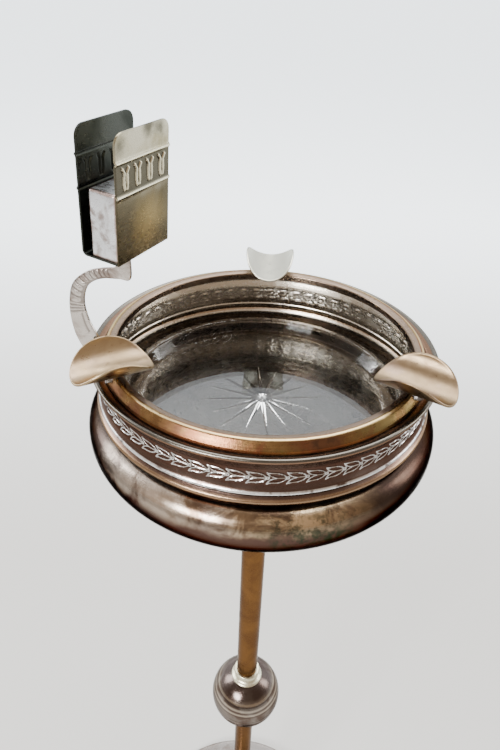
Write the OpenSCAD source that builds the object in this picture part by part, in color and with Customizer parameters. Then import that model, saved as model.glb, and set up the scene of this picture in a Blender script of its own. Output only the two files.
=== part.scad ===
// Smoker's floor-standing ashtray: a weighted round foot, a brass stem with a ball knop, a squashed
// spun bowl with a beaded gallery and rolled rim, a lift-out glass dish, three cigar rests soldered
// to the rim, and a two-leaf matchbox holder on a cast bracket.
// Origin: centre of the felt's underside, on the floor. +Z up. The back cigar rest lies at +Y.

/* [Overall] */
// Height of the rim's crest above the floor
rim_height = 680; // [600:1:780]
// Diameter of the rim's crest
rim_d = 160; // [150:1:200]
// Diameter of the foot
base_d = 220; // [180:1:270]
// Widest diameter of the bowl's bulb, over the rim's crest diameter
bulb_over_rim = 28; // [26:1:40]

/* [Foot] */
// Height of the foot's shell
base_h = 56; // [46:1:70]
// Thickness of the felt pad
felt_t = 2; // [1:0.5:4]

/* [Stem] */
// Outer diameter of the upper tube
upper_tube_d = 16; // [14:0.5:20]
// Outer diameter of the lower tube
lower_tube_d = 15; // [13:0.5:18]
// Wall of both tubes
tube_wall = 1; // [0.8:0.1:1.5]
// Diameter of the ball knop
knop_d = 55; // [46:1:64]
// Height of the knop's centre above the floor
knop_z = 336; // [250:1:420]
// Diameter of the threaded tie rod
rod_d = 8; // [6:0.5:9]

/* [Bowl] */
// Thickness of the spun sheet
sheet_t = 1; // [0.8:0.1:1.2]
// Drop from the crest to the shelf that the gallery stands on
gallery_h = 34; // [28:1:44]
// Drop from the shelf to the bowl's flat underside
bulb_h = 41; // [38:1:56]
// Clearance round the lift-out glass dish
glass_gap = 0.6; // [0.4:0.1:1]
// Height of the glass dish
glass_h = 10.5; // [8:0.5:14]
// Thickness of the glass dish's bottom
glass_t = 4; // [3:0.5:5]

/* [Cigar rests] */
// Diameter of the flat disc that each rest is bent from
rest_d = 39; // [32:1:44]
// Radius that the disc is bent to
rest_bend_r = 13.8; // [12.5:0.1:18]
// Thickness of the rest's sheet
rest_t = 1.2; // [0.8:0.1:1.6]
// Height of the rest's trough above the crest
rest_lift = 2.2; // [2.2:0.1:4]

/* [Matchbox holder] */
// Width of the leaves at the ridges
leaf_w = 38; // [36:1:46]
// Width of the leaves at the floor
leaf_foot_w = 38; // [36:0.5:44]
// Height of the leaves
leaf_h = 55.5; // [52:0.5:64]
// Height of the lower ridge above the floor
low_ridge_h = 30; // [26:1:34]
// Distance between the two ridges
ridge_gap = 14; // [10:1:18]
// Outside depth of the holder, front leaf to back leaf
holder_depth = 20; // [18:0.5:26]
// Thickness of the holder's sheet
leaf_t = 1; // [0.8:0.1:1.2]
// Height of the hollow step that the matchbox stands on
step_h = 30; // [22:1:34]
// Depth of the hollow step
step_depth = 14.5; // [12:0.5:15]
// Height of the holder's floor above the crest
holder_rise = 50.5; // [46:0.5:60]

/* [Hidden] */
$fn = 96;

rim_r = rim_d / 2;
base_r = base_d / 2;
knop_r = knop_d / 2;
rod_r = rod_d / 2;
upper_r = upper_tube_d / 2;
lower_r = lower_tube_d / 2;
bulb_r = (rim_d + bulb_over_rim) / 2;

// Clearances: round the tie rod, and round pieces that slip over one another
rod_gap = 0.4;
slip = 0.05;

// Foot
shell_lip = 1;                 // the shell's edge stays this far above the floor
plate_t = 1.2;
nut_recess_r = 17;
nut_recess_h = 7;
washer_t = 1.6;
rod_washer_r = rod_r + 6;
nut_t = 0.7 * rod_d;
nut_r = 0.93 * rod_d;
plate_z = felt_t;
recess_z = plate_z + nut_recess_h;      // underside of the recess's roof
weight_z = plate_z + plate_t;
ferrule_h = 12;

// Knop
knop_wall = 1;
tube_in_knop = 5.5;            // each tube's end stands this far inside the ball
collar_h = 9;
collar_r = 12;

// Bowl heights, from the floor
shelf_z = rim_height - gallery_h;
bowl_z = shelf_z - bulb_h;              // the bowl's flat underside
shoulder_r = 11.5;
belly_a = 36;
belly_z = shelf_z - shoulder_r - 2.5;
flat_r = 26;

// Rim and gallery, measured out from the crest's radius and down from its height
lip_in = 3.7;
lip_drop = 4.2;
face_out = 3.7;
face_drop = 5;
flange_drop = 6.1;
rim_foot_out = 4.2;
top_bead_out = 8.2;
top_bead_r = 1.3;
neck_out = 4.5;
low_bead_out = 6.2;
low_bead_r = 1.7;
mid_bead_out = 5.6;
mid_bead_r = 1.2;
gallery_t = 0.9;

// Glass dish
glass_r = rim_r - lip_in - glass_gap;
glass_wall = 3.2;
glass_foot_in = 6.5;
pan_t = 0.8;
seat_drop = 7.5;
seat_z = shelf_z - seat_drop;
seat_r = glass_r + glass_gap;

// Cigar rests stand on the crest at these bearings, their troughs pointing at the bowl's axis
REST_BACK = 90;
REST_LEFT = 210;
REST_RIGHT = 330;
rest_out = 0.8;
rest_foot_l = 9;
rest_foot_w = 7;
rest_foot_sink = 4;

// Bracket: a flat casting in an upright plane
arm_bearing = 180.9;           // where it meets the gallery
arm_heading = -19;             // the way it reaches, in plan
arm_t = 2.6;
arm_foot_w = 16;
arm_foot_t = 3;
arm_foot_top = 8;
arm_foot_low = 22.6;
arm_root_r = rim_r + 8;
rivet_d = 3;
rivet_head_d = 5;
rivet_head_t = 1.1;
rivet_side = 5;
rivet_drop = 15;

// Holder: x across the leaves, y along them, z up, before it is turned and leant
holder_reach = 23.3;
holder_heading = -25;
holder_lean = 3.5;
pad_back = 1;
pad_l = 8;
pad_w = 7;
pad_t = 2.2;
leaf_corner_r = 5;
floor_bend_r = 2.5;
ridge_r = 0.9;
stud_d = 3;
stud_nut_t = 2.4;
stud_nut_r = 3.2;
hole_gap = 0.05;

// Points round an arc of radius r about c, from angle a0 to a1, in n steps
function arc(c, r, a0, a1, n = 8) =
    [for (i = [0:n]) let (a = a0 + (a1 - a0) * i / n) c + r * [cos(a), sin(a)]];

// Points round an elliptical arc
function oval(c, a, b, a0, a1, n = 12) =
    [for (i = [0:n]) let (t = a0 + (a1 - a0) * i / n) c + [a * cos(t), b * sin(t)]];

// A smooth curve through the points p, with n steps between each two
function knot(p, i) = p[max(0, min(len(p) - 1, i))];
function blend(a, b, c, d, t) =
    0.5 * (2 * b + (c - a) * t + (2 * a - 5 * b + 4 * c - d) * t * t
           + (3 * b - a - 3 * c + d) * t * t * t);
function smooth(p, n = 5) = concat(
    [for (i = [0:len(p) - 2], k = [0:n - 1])
        blend(knot(p, i - 1), p[i], p[i + 1], knot(p, i + 2), k / n)],
    [p[len(p) - 1]]);

// The outline of a sheet of thickness t whose right-hand face follows the path p
function unit(v) = v / norm(v);
function left(v) = [-v[1], v[0]];
function bisector(p, i) =
    i == 0 ? left(unit(p[1] - p[0]))
    : i == len(p) - 1 ? left(unit(p[i] - p[i - 1]))
    : let (a = left(unit(p[i] - p[i - 1])), b = left(unit(p[i + 1] - p[i])))
      (a + b) / max(0.35, 1 + a * b);
function sheet(p, t) = concat(p, [for (i = [len(p) - 1:-1:0]) p[i] + t * bisector(p, i)]);

module spun(outline) {
    rotate_extrude() polygon(outline);
}

module ring(r_in, r_out, z, h) {
    translate([0, 0, z]) difference() {
        cylinder(r = r_out, h = h);
        translate([0, 0, -1]) cylinder(r = r_in, h = h + 2);
    }
}

module hex_nut(across_r, bore_r, z, h) {
    translate([0, 0, z]) difference() {
        cylinder(r = across_r, h = h, $fn = 6);
        translate([0, 0, -1]) cylinder(r = bore_r, h = h + 2);
    }
}

// ---- Foot ----

module felt_pad() color("darkolivegreen")
    ring(nut_recess_r + 1, base_r - 4, 0, felt_t);

module base_plate() color("dimgray")
    spun([[nut_recess_r, plate_z], [base_r - sheet_t - 0.2, plate_z],
          [base_r - sheet_t - 0.2, plate_z + plate_t], [nut_recess_r + plate_t, plate_z + plate_t],
          [nut_recess_r + plate_t, recess_z + plate_t], [rod_r + rod_gap, recess_z + plate_t],
          [rod_r + rod_gap, recess_z], [nut_recess_r, recess_z]]);

// Skirt, rounded edge, shallow step, and an ogee up to the flat top that the tube stands on
function base_path() = concat(
    [[base_r, shell_lip]],
    arc([base_r - 4, 7], 4, 0, 80, 5),
    [[base_r - 8.5, 11.6]],
    smooth([[base_r - 9.5, 12.6], [base_r - 22, 16.5], [base_r * 0.55, 22.5],
            [base_r * 0.33, base_h * 0.55], [base_r * 0.19, base_h * 0.78],
            [lower_r + 5, base_h - 2]], 4),
    [[lower_r + 4, base_h], [rod_r + rod_gap, base_h]]);

module base_shell() color("rosybrown")
    spun(sheet(base_path(), sheet_t));

// Poured in: it fills the shell up to half a millimetre from the sheet
function weight_path() =
    let (p = base_path())
    [for (i = [0:len(p) - 1]) let (q = p[i] + (sheet_t + 0.5) * bisector(p, i))
        if (q[0] < base_r - 15 && q[0] > rod_r + 6 && q[1] < base_h - 3) q];

module base_weight() color("darkslategray")
    difference() {
        spun(concat([[rod_r + rod_gap, weight_z], [base_r - 15, weight_z]], weight_path(),
                    [[rod_r + rod_gap, weight_path()[len(weight_path()) - 1][1]]]));
        cylinder(r = nut_recess_r + plate_t + 0.3, h = recess_z + plate_t);
    }

module base_washer() color("silver")
    ring(rod_r + rod_gap, rod_washer_r, recess_z - washer_t, washer_t);

module base_nut() color("silver")
    hex_nut(nut_r, rod_r + slip, recess_z - washer_t - nut_t, nut_t);

module base_ferrule() color("goldenrod")
    spun(concat(
        [[lower_r + slip, base_h], [lower_r + 4, base_h], [lower_r + 4, base_h + 2]],
        arc([lower_r + 5.5, base_h + 8.5], 4, 240, 180, 5),
        [[lower_r + 2.4, base_h + 10], [lower_r + 2.4, base_h + ferrule_h],
         [lower_r + slip, base_h + ferrule_h]]));

// ---- Stem ----

module tie_rod() color("gray")
    translate([0, 0, recess_z - washer_t - nut_t - 0.8])
        cylinder(r = rod_r, h = bowl_z + sheet_t + washer_t + nut_t + 3
                            - (recess_z - washer_t - nut_t - 0.8));

lower_tube_top = knop_z - knop_r + tube_in_knop;
upper_tube_foot = knop_z + knop_r - tube_in_knop;

module lower_tube() color("peru")
    ring(lower_r - tube_wall, lower_r, base_h, lower_tube_top - base_h);

module upper_tube() color("peru")
    ring(upper_r - tube_wall, upper_r, upper_tube_foot, bowl_z - upper_tube_foot);

module knop_spacer() color("gray")
    ring(rod_r + rod_gap, min(lower_r, upper_r) - slip, lower_tube_top,
         upper_tube_foot - lower_tube_top);

// Half of the ball: its open edge at the equator, a hole at the pole for the tube
module half_ball(hole_r) {
    pole = acos(hole_r / knop_r);
    inner_pole = acos(hole_r / (knop_r - knop_wall));
    spun(concat(arc([0, 0], knop_r, 0, pole, 14),
                arc([0, 0], knop_r - knop_wall, inner_pole, 0, 14)));
}

module knop_upper_shell() color("silver")
    translate([0, 0, knop_z]) half_ball(upper_r + slip);

module knop_lower_shell() color("silver")
    translate([0, 0, knop_z]) mirror([0, 0, 1]) half_ball(lower_r + slip);

// A waisted collar that slips over the tube and seats on the ball
module knop_collar(tube_r) {
    foot_z = sqrt(knop_r * knop_r - collar_r * collar_r);
    difference() {
        spun(concat(
            [[tube_r + slip, foot_z - 1], [collar_r, foot_z - 1], [collar_r, foot_z + 1.2]],
            arc([collar_r + 0.6, foot_z + 5.6], 4.2, 250, 150, 6),
            [[tube_r + 2, foot_z + collar_h - 0.8], [tube_r + 1.4, foot_z + collar_h],
             [tube_r + slip, foot_z + collar_h]]));
        sphere(r = knop_r, $fn = 96);
    }
}

module knop_top_collar() color("khaki")
    translate([0, 0, knop_z]) knop_collar(upper_r);

module knop_bottom_collar() color("khaki")
    translate([0, 0, knop_z]) mirror([0, 0, 1]) knop_collar(lower_r);

// ---- Bowl ----

module bowl_flange() color("peru")
    spun(concat(
        [[upper_r + slip, bowl_z - 12], [upper_r + 2, bowl_z - 12], [upper_r + 2.4, bowl_z - 10]],
        arc([upper_r + 11, bowl_z - 10], 7.6, 170, 95, 6),
        [[upper_r + 13, bowl_z - 1.6], [upper_r + 13, bowl_z], [upper_r + slip, bowl_z]]));

// From the stem's hole out along the underside, round the belly and shoulder, and in along the
// shelf that the pan and the gallery stand on
function bowl_path() = concat(
    [[rod_r + rod_gap, bowl_z], [flat_r, bowl_z]],
    oval([bulb_r - belly_a, belly_z], belly_a, belly_z - (bowl_z + 3), -90, 0, 16),
    arc([bulb_r - shoulder_r, shelf_z - pan_t - shoulder_r], shoulder_r, 0, 90, 8),
    [[seat_r + pan_t + slip, shelf_z - pan_t]]);

module bowl_body() color("rosybrown")
    spun(sheet(bowl_path(), sheet_t));

// A shallow pan dropped into the bulb's mouth, which closes it and carries the glass dish
module bowl_pan() color("silver")
    spun(sheet([[0, seat_z - pan_t], [seat_r + pan_t, seat_z - pan_t],
                [seat_r + pan_t, shelf_z - pan_t], [bulb_r - shoulder_r, shelf_z - pan_t]], pan_t));

module bowl_washer() color("silver")
    ring(rod_r + rod_gap, rod_washer_r + 8, bowl_z + sheet_t, washer_t);

module bowl_nut() color("silver")
    hex_nut(nut_r, rod_r + slip, bowl_z + sheet_t + washer_t, nut_t);

// The gallery's outer face: in from the foot flange, over two beads, up the hollow neck, round
// the top bead and in along the flange that the rim stands on
function gallery_path() =
    let (low_z = shelf_z + 4.1, mid_z = shelf_z + 8.4, bead_z = rim_height - 5)
    concat(
        [[seat_r + 2, shelf_z], [rim_r + 6, shelf_z], [rim_r + 6.6, shelf_z + 1.6]],
        arc([rim_r + low_bead_out, low_z], low_bead_r, -60, 60, 6),
        [[rim_r + 6, shelf_z + 6.6]],
        arc([rim_r + mid_bead_out, mid_z], mid_bead_r, -60, 60, 5),
        smooth([[rim_r + 5.7, mid_z + 2], [rim_r + neck_out + 0.3, mid_z + 5.6],
                [rim_r + neck_out, (mid_z + bead_z) / 2 + 1], [rim_r + 5.1, bead_z - 6.5],
                [rim_r + 6.6, bead_z - 2.6]], 4),
        arc([rim_r + top_bead_out, bead_z], top_bead_r, -70, 100, 8),
        [[rim_r + 7, rim_height - 4.6], [rim_r + 5.6, rim_height - 5.7],
         [rim_r + rim_foot_out + 0.4, rim_height - flange_drop],
         [rim_r + 0.5, rim_height - flange_drop]]);

module arm_rivet_holes(r) {
    for (side = [-1, 1])
        rotate([0, 0, arm_bearing])
            translate([0, side * rivet_side, rim_height - rivet_drop])
                rotate([0, 90, 0]) translate([0, 0, rim_r - 4]) cylinder(r = r, h = 20, $fn = 24);
}

module gallery_band() color("rosybrown")
    difference() {
        spun(sheet(gallery_path(), gallery_t));
        arm_rivet_holes(rivet_d / 2 + hole_gap);
    }

// The rim: a spun cap with a sloping outer face, a rounded crest and a lip turned down inside
function rim_path() = concat(
    [[rim_r + rim_foot_out, rim_height - flange_drop],
     [rim_r + rim_foot_out, rim_height - flange_drop + 0.5],
     [rim_r + face_out, rim_height - face_drop],
     [rim_r + 1.5, rim_height - 1]],
    arc([rim_r + 0.1, rim_height - 1.7], 1.7, 35, 90, 4),
    [[rim_r - lip_in + 1.2, rim_height - 0.4]],
    arc([rim_r - lip_in + 1.1, rim_height - 1.5], 1.1, 95, 180, 4),
    [[rim_r - lip_in, rim_height - lip_drop]]);

module rim_ring() color("peru")
    spun(sheet(rim_path(), sheet_t * 0.9));

module glass_dish() color("lightsteelblue", 0.5)
    translate([0, 0, seat_z])
        spun([[0, 0], [glass_r - glass_foot_in, 0], [glass_r, glass_h - 1],
              [glass_r - 0.6, glass_h], [glass_r - glass_wall + 0.4, glass_h],
              [glass_r - glass_foot_in + 0.8, glass_t + 0.8], [glass_r - glass_foot_in - 0.2, glass_t],
              [0, glass_t]]);

// ---- Cigar rests ----

rest_r = rest_d / 2;
rest_axis_z = rim_height + rest_lift + rest_bend_r;

module at_rest(bearing) {
    rotate([0, 0, bearing]) translate([rim_r + rest_out, 0, 0]) children();
}

// Half-width of the bent disc, seen from above, at x from its middle
function rest_edge(x) =
    (rest_bend_r + rest_t / 2) * sin(sqrt(max(0, rest_r * rest_r - x * x)) / rest_bend_r * 180 / PI);

module rest(bearing) color("goldenrod")
    at_rest(bearing) intersection() {
        translate([-rest_r - 1, 0, rest_axis_z]) rotate([0, 90, 0]) difference() {
            cylinder(r = rest_bend_r + rest_t, h = rest_d + 2);
            translate([0, 0, -1]) cylinder(r = rest_bend_r, h = rest_d + 4);
        }
        translate([0, 0, rim_height])
            linear_extrude(rest_lift + rest_bend_r)
                polygon(concat(
                    [for (i = [0:24]) let (x = -rest_r * cos(i * 7.5)) [x, -rest_edge(x)]],
                    [for (i = [1:23]) let (x = rest_r * cos(i * 7.5)) [x, rest_edge(x)]]));
    }

module rest_front_left() rest(REST_LEFT);
module rest_front_right() rest(REST_RIGHT);
module rest_back() rest(REST_BACK);

// The crest as one solid of revolution, which a soldered foot is shaped to
module rim_core() {
    spun(concat([[rim_r - lip_in, rim_height - 12], [rim_r + rim_foot_out, rim_height - 12]],
                rim_path()));
}

module rest_foot(bearing) color("silver")
    difference() {
        at_rest(bearing)
            translate([-rest_foot_l / 2, -rest_foot_w / 2, rim_height - rest_foot_sink / 2])
                cube([rest_foot_l, rest_foot_w, rest_foot_sink / 2 + rest_lift]);
        rim_core();
        at_rest(bearing) translate([-rest_r, 0, rest_axis_z]) rotate([0, 90, 0])
            cylinder(r = rest_bend_r + rest_t, h = rest_d);
    }

module rest_foot_front_left() rest_foot(REST_LEFT);
module rest_foot_front_right() rest_foot(REST_RIGHT);
module rest_foot_back() rest_foot(REST_BACK);

// ---- Matchbox holder ----

arm_root = arm_root_r * [cos(arm_bearing), sin(arm_bearing)];
holder_xy = arm_root + holder_reach * [cos(arm_heading), sin(arm_heading)];

module at_holder() {
    translate([holder_xy[0], holder_xy[1], rim_height + holder_rise])
        rotate([0, 0, holder_heading]) rotate([0, holder_lean, 0]) children();
}

// The bracket's outline, out from its root on the gallery and up from the crest's height:
// a bulging hook whose end fans out under the holder's floor
function arm_outline() =
    let (top = holder_rise - pad_t / 2)
    concat(
        smooth([[2, -22], [-6, -16.5], [-11.5, -9], [-13.9, 0], [-14.1, 11], [-11.6, 21.8],
                [-7.2, 28.2], [0.3, 33.6], [7.5, 36.3], [15.6, 38.5]], 4),
        [[17.4, 41.5], [17.8, top], [holder_reach + 1, top], [holder_reach + 0.7, 33]],
        smooth([[holder_reach - 1, 32.9], [13.1, 32.1], [6.4, 30.2], [1.4, 27.4], [-2.9, 22.6],
                [-4.7, 15.2], [-4.2, 8.8], [-1.8, 2], [2, -6]], 4));

module match_arm() color("lightgray")
    difference() {
        union() {
            translate([arm_root[0], arm_root[1], rim_height]) rotate([0, 0, arm_heading])
                rotate([90, 0, 0]) linear_extrude(arm_t, center = true) polygon(arm_outline());
            rotate([0, 0, arm_bearing])
                translate([rim_r + 2, -arm_foot_w / 2, rim_height - arm_foot_low])
                    cube([arm_foot_t + 4, arm_foot_w, arm_foot_low - arm_foot_top]);
            at_holder() translate([-pad_back - pad_l / 2, -pad_w / 2, -pad_t])
                cube([pad_l, pad_w, pad_t]);
        }
        spun(concat([[0, shelf_z]], gallery_path(), [[0, rim_height - flange_drop]]));
        arm_rivet_holes(rivet_d / 2 + hole_gap);
        at_holder() translate([-pad_back, 0, -pad_t * 2])
            cylinder(r = stud_d / 2 + hole_gap, h = pad_t * 3, $fn = 24);
    }

// Each rivet passes through the bracket's foot and the gallery, with a head on both sides
module arm_rivets() color("silver")
    for (side = [-1, 1])
        rotate([0, 0, arm_bearing])
            translate([0, side * rivet_side, rim_height - rivet_drop]) rotate([0, 90, 0]) {
                translate([0, 0, rim_r + 2.4])
                    cylinder(r = rivet_d / 2, h = arm_foot_t + 3.6, $fn = 24);
                translate([0, 0, rim_r + 6 + arm_foot_t])
                    cylinder(r = rivet_head_d / 2, h = rivet_head_t, $fn = 24);
                translate([0, 0, rim_r + 2.4])
                    cylinder(r = rivet_head_d / 2, h = rivet_head_t * 0.6, $fn = 24);
            }

// Half of a leaf's outline on one side, from the floor up to the middle of the top
function leaf_side(s) = concat(
    [[s * leaf_foot_w / 2, 0], [s * leaf_w / 2, low_ridge_h],
     [s * leaf_w / 2, low_ridge_h + ridge_gap]],
    [for (a = [0:15:90]) [s * (leaf_w / 2 - leaf_corner_r + leaf_corner_r * cos(a)),
                          leaf_h - leaf_corner_r + leaf_corner_r * sin(a)]]);

module leaf_blank(depth) {
    right_side = leaf_side(1);
    left_side = leaf_side(-1);
    rotate([90, 0, 90]) linear_extrude(depth)
        polygon(concat(right_side, [for (i = [len(left_side) - 1:-1:0]) left_side[i]]));
}

// The two raised ridges that frame the leaf's band, on the face at x
module ridges(x) {
    for (z = [low_ridge_h, low_ridge_h + ridge_gap])
        translate([x, leaf_w / 2, z]) rotate([90, 0, 0]) cylinder(r = ridge_r, h = leaf_w, $fn = 24);
}

module holder_front() color("darkkhaki")
    at_holder() difference() {
        union() {
            translate([holder_depth / 2 - leaf_t, 0, 0]) leaf_blank(leaf_t);
            ridges(holder_depth / 2 - 0.2);
        }
        translate([holder_depth / 2 - leaf_t - 5, -leaf_w, 0]) cube([5, leaf_w * 2, leaf_h]);
    }

// The back leaf and the floor, bent from one sheet
module holder_back() color("dimgray")
    at_holder() difference() {
        intersection() {
            union() {
                translate([0, leaf_w / 2, 0]) rotate([90, 0, 0]) linear_extrude(leaf_w)
                    polygon(sheet(concat(
                        [[-holder_depth / 2, leaf_h]],
                        arc([-holder_depth / 2 + floor_bend_r, floor_bend_r], floor_bend_r, 180, 270, 5),
                        [[holder_depth / 2 - leaf_t, 0]]), leaf_t));
                ridges(-holder_depth / 2 + 0.2);
            }
            translate([-holder_depth, 0, 0]) leaf_blank(holder_depth * 2);
        }
        translate([-pad_back, 0, -1]) cylinder(r = stud_d / 2 + hole_gap, h = leaf_t + 2, $fn = 24);
        translate([-holder_depth / 2 + leaf_t, -leaf_w, floor_bend_r]) cube([5, leaf_w * 2, leaf_h]);
    }

// The hollow step: a closed-top box that hides the nut, standing on the floor behind the front leaf
module match_step() color("gainsboro")
    at_holder() translate([holder_depth / 2 - leaf_t - step_depth, -leaf_foot_w / 2 + 0.6, leaf_t])
        difference() {
            cube([step_depth, leaf_foot_w - 1.2, step_h]);
            translate([leaf_t, leaf_t, -1])
                cube([step_depth - 2 * leaf_t, leaf_foot_w - 1.2 - 2 * leaf_t, step_h - leaf_t + 1]);
        }

module holder_stud() color("dimgray")
    at_holder() translate([-pad_back, 0, -pad_t])
        cylinder(r = stud_d / 2, h = pad_t + leaf_t + stud_nut_t + 1, $fn = 24);

module holder_nut() color("dimgray")
    at_holder() translate([-pad_back, 0, 0])
        hex_nut(stud_nut_r, stud_d / 2 + hole_gap, leaf_t, stud_nut_t);

felt_pad();
base_plate();
base_weight();
base_shell();
base_washer();
base_nut();
base_ferrule();
tie_rod();
lower_tube();
knop_bottom_collar();
knop_lower_shell();
knop_spacer();
knop_upper_shell();
knop_top_collar();
upper_tube();
bowl_flange();
bowl_body();
bowl_washer();
bowl_nut();
bowl_pan();
gallery_band();
rim_ring();
glass_dish();
rest_front_left();
rest_front_right();
rest_back();
rest_foot_front_left();
rest_foot_front_right();
rest_foot_back();
match_arm();
arm_rivets();
holder_back();
holder_front();
match_step();
holder_stud();
holder_nut();
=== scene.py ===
import math

import bpy
import numpy as np
from mathutils import Matrix, Vector


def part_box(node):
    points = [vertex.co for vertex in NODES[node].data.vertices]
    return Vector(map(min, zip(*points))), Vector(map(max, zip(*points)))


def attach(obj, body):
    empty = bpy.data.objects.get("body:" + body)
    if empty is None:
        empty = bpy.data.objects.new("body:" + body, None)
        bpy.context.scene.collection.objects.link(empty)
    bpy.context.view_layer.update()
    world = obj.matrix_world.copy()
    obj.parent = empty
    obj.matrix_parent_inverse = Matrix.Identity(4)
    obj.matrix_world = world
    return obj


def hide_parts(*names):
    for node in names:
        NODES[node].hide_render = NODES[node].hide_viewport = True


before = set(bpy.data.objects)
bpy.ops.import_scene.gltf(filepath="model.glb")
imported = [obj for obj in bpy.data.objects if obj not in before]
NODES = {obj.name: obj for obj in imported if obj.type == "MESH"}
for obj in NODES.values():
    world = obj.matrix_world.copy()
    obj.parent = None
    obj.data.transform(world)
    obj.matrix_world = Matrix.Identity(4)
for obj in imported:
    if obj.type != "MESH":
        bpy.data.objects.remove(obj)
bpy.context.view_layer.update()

# Sizes in millimetres. Radii are measured from the stem's axis, heights from the floor.
RIM_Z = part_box("rim_ring")[1].z * 1000
RIM_R = 80.0
BASE_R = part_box("base_shell")[1].x * 1000
GALLERY_H = 34.0
SHELF_Z = RIM_Z - GALLERY_H
BOWL_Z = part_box("bowl_body")[0].z * 1000
SEAT_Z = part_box("glass_dish")[0].z * 1000
GLASS_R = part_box("glass_dish")[1].x * 1000
KNOP_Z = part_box("knop_upper_shell")[0].z * 1000
KNOP_R = 27.5
UPPER_R, LOWER_R = 8.0, 7.5
SHEET = 1.0
REST_BEARINGS = {"front_left": 210, "front_right": 330, "back": 90}


# ---------------------------------------------------------------- curves and skins

def arc(centre, radius, a0, a1, n=10):
    """n+1 points round a circle from angle a0 to a1 in degrees."""
    a = np.radians(np.linspace(a0, a1, n + 1))
    return np.array(centre) + radius * np.stack([np.cos(a), np.sin(a)], 1)


def oval(centre, a, b, a0, a1, n=30):
    """n+1 points round an ellipse with half-axes a and b."""
    t = np.radians(np.linspace(a0, a1, n + 1))
    return np.array(centre) + np.stack([a * np.cos(t), b * np.sin(t)], 1)


def smooth(points, n=8):
    """A Catmull-Rom curve: between points b and c it is half of
    2b + (c-a)t + (2a-5b+4c-d)t^2 + (3b-a-3c+d)t^3, with a before b and d after c."""
    p = np.array(points, float)
    q = np.vstack([p[:1], p, p[-1:]])
    t = np.linspace(0, 1, n, endpoint=False)[None, :, None]
    a, b, c, d = (q[i:len(q) - 3 + i, None, :] for i in range(4))
    run = 0.5 * (2 * b + (c - a) * t + (2 * a - 5 * b + 4 * c - d) * t ** 2
                 + (3 * b - a - 3 * c + d) * t ** 3)
    return np.vstack([run.reshape(-1, p.shape[1]), p[-1:]])


def path(*parts):
    """The parts end to end, with repeated points left out."""
    p = np.vstack([np.array(q, float).reshape(-1, 2) for q in parts])
    keep = np.r_[True, np.linalg.norm(np.diff(p, axis=0), axis=1) > 1e-6]
    return p[keep]


def left_of(p):
    """At each point of a path, the direction a quarter turn left of the way it runs."""
    d = np.gradient(p, axis=0)
    d /= np.linalg.norm(d, axis=1)[:, None]
    return np.stack([-d[:, 1], d[:, 0]], 1)


def sheet(p, thickness):
    """The closed outline of a bent sheet: out along the path, and back along the same path
    moved sideways by the thickness."""
    return np.vstack([p, (p + thickness * left_of(p))[::-1]])


def along(p, step):
    """The path walked again in even steps of about the given length."""
    run = np.r_[0, np.cumsum(np.linalg.norm(np.diff(p, axis=0), axis=1))]
    at = np.linspace(0, run[-1], max(2, int(run[-1] / step) + 1))
    return np.stack([np.interp(at, run, p[:, i]) for i in range(p.shape[1])], 1)


def skin(rows, ends="loop"):
    """Points and faces over an array of rows of points. Columns close on themselves.
    ends: "loop" joins the last row to the first, "fan" draws each end to a middle point,
    "strip" sews each end's front half to its back half, "open" leaves them."""
    n, m = rows.shape[:2]
    at = np.arange(n * m).reshape(n, m)
    if ends == "loop":
        at = np.vstack([at, at[:1]])
    side = np.roll(at, -1, 1)
    quads = np.stack([at[:-1], side[:-1], side[1:], at[1:]], -1).reshape(-1, 4)
    points, tris = rows.reshape(-1, 3), np.zeros((0, 3), int)
    if ends == "fan":
        points = np.vstack([points, rows[0].mean(0), rows[-1].mean(0)])
        first = np.stack([side[0], at[0], np.full(m, n * m)], 1)
        last = np.stack([at[-1], side[-1], np.full(m, n * m + 1)], 1)
        tris = np.vstack([first, last])
    if ends == "strip":
        i = np.arange(m // 2 - 1)
        first = np.stack([at[0][i + 1], at[0][i], at[0][m - 1 - i], at[0][m - 2 - i]], 1)
        last = np.stack([at[-1][i], at[-1][i + 1], at[-1][m - 2 - i], at[-1][m - 1 - i]], 1)
        quads = np.vstack([quads, first, last])
    return points, quads, tris


def joined(*shapes):
    """Several skins as one."""
    points, quads, tris, start = [], [], [], 0
    for p, q, t in shapes:
        points.append(p)
        quads.append(q + start)
        tris.append(t + start)
        start += len(p)
    return np.vstack(points), np.vstack(quads), np.vstack(tris)


def outward(shape):
    """The skin with its faces turned so that the volume they close, a sixth of the sum of
    a . (b x c) over its triangles, is positive."""
    points, quads, tris = shape
    t = np.vstack([quads[:, [0, 1, 2]], quads[:, [0, 2, 3]], tris])
    a, b, c = points[t[:, 0]], points[t[:, 1]], points[t[:, 2]]
    if np.einsum("ij,ij->i", a, np.cross(b, c)).sum() < 0:
        quads, tris = quads[:, ::-1], tris[:, ::-1]
    return points, quads, tris


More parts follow.
